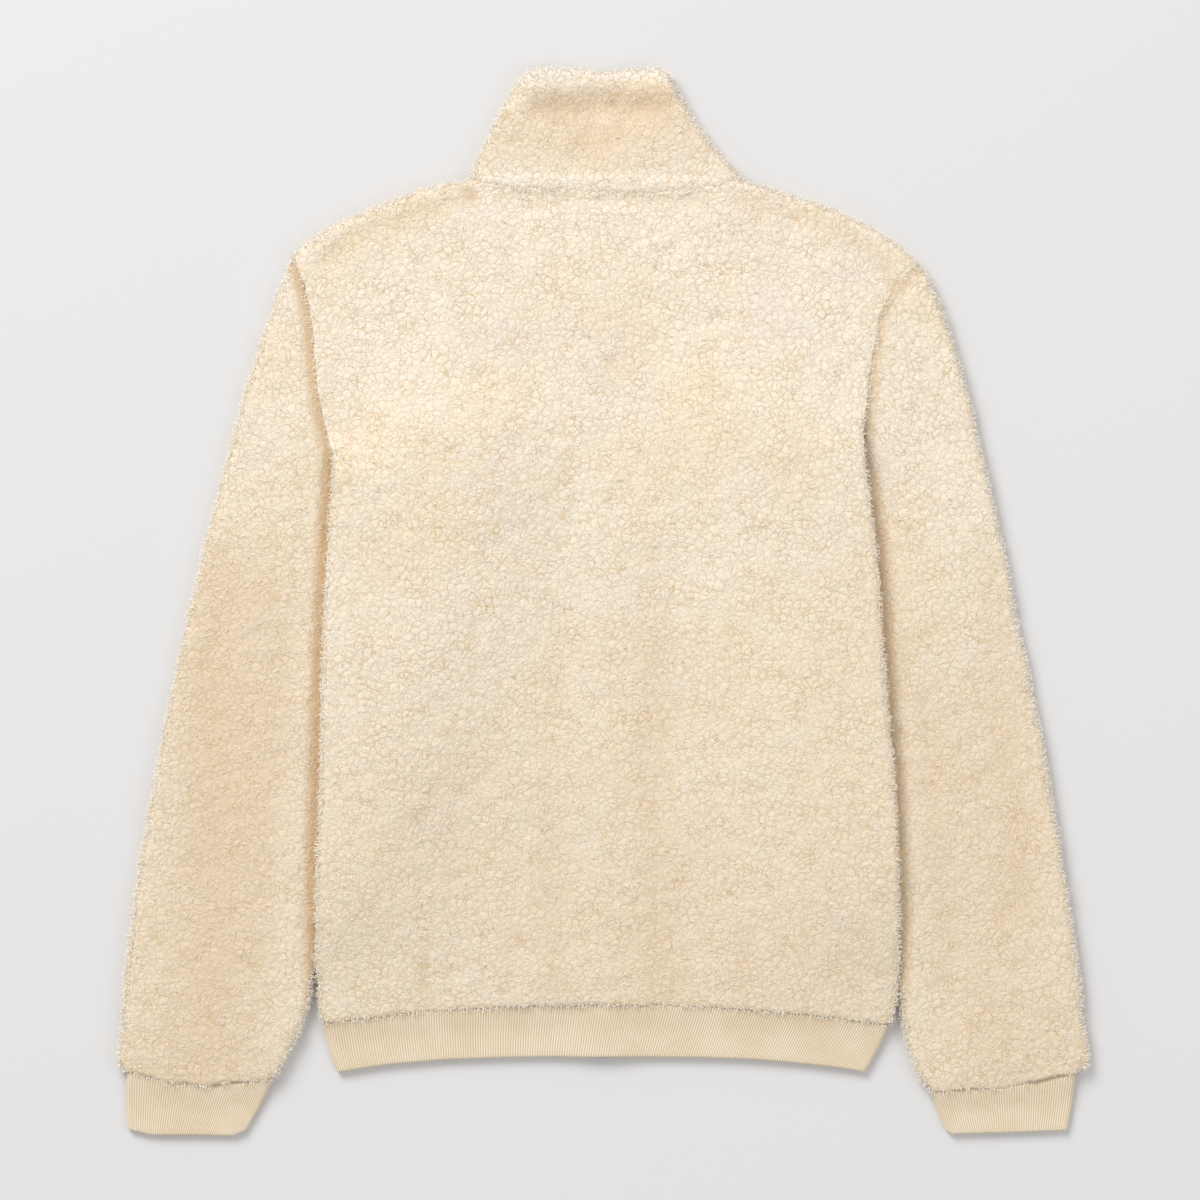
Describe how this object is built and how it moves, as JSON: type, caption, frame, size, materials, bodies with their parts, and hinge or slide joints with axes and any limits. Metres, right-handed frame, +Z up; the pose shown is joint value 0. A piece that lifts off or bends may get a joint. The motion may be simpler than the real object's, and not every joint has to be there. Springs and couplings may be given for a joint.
{
  "type": "sherpa zip jacket laid flat",
  "caption": "Cream sherpa jacket with stand collar, front zip, rib waistband and rib cuffs, closed and laid face down with the sleeves at its sides",
  "frame": {"origin": "middle of the jacket's box in X and Y, on the surface it lies on", "axes": "+Y from the hem to the collar, +X to the wearer's right, which is picture right, +Z up from the surface"},
  "size_m": [0.7558, 0.8322, 0.0271],
  "materials": {
    "sherpa": "curled pile",
    "rib_knit": "rib knit",
    "zip_tape": "woven tape",
    "zip_metal": "satin"
  },
  "bodies": {
    "jacket": {"back": "sherpa", "front_left": "sherpa", "front_right": "sherpa", "sleeve_left": "sherpa", "sleeve_right": "sherpa", "collar": "sherpa", "waistband": "rib_knit", "cuff_left": "rib_knit", "cuff_right": "rib_knit", "zip_tape_left": "zip_tape", "zip_tape_right": "zip_tape", "zip_chain": "zip_metal", "zip_box": "zip_metal", "zip_slider": "zip_metal"},
    "zip_pull": {"zip_pull": "zip_metal"}
  },
  "joints": [
    {"name": "zip_pull_hinge", "type": "hinge", "parent": "jacket", "child": "zip_pull", "pos_m": [-0.0012, 0.30354, 0.00155], "axis": [1, 0, 0], "range_deg": [0, 165]}
  ]
}
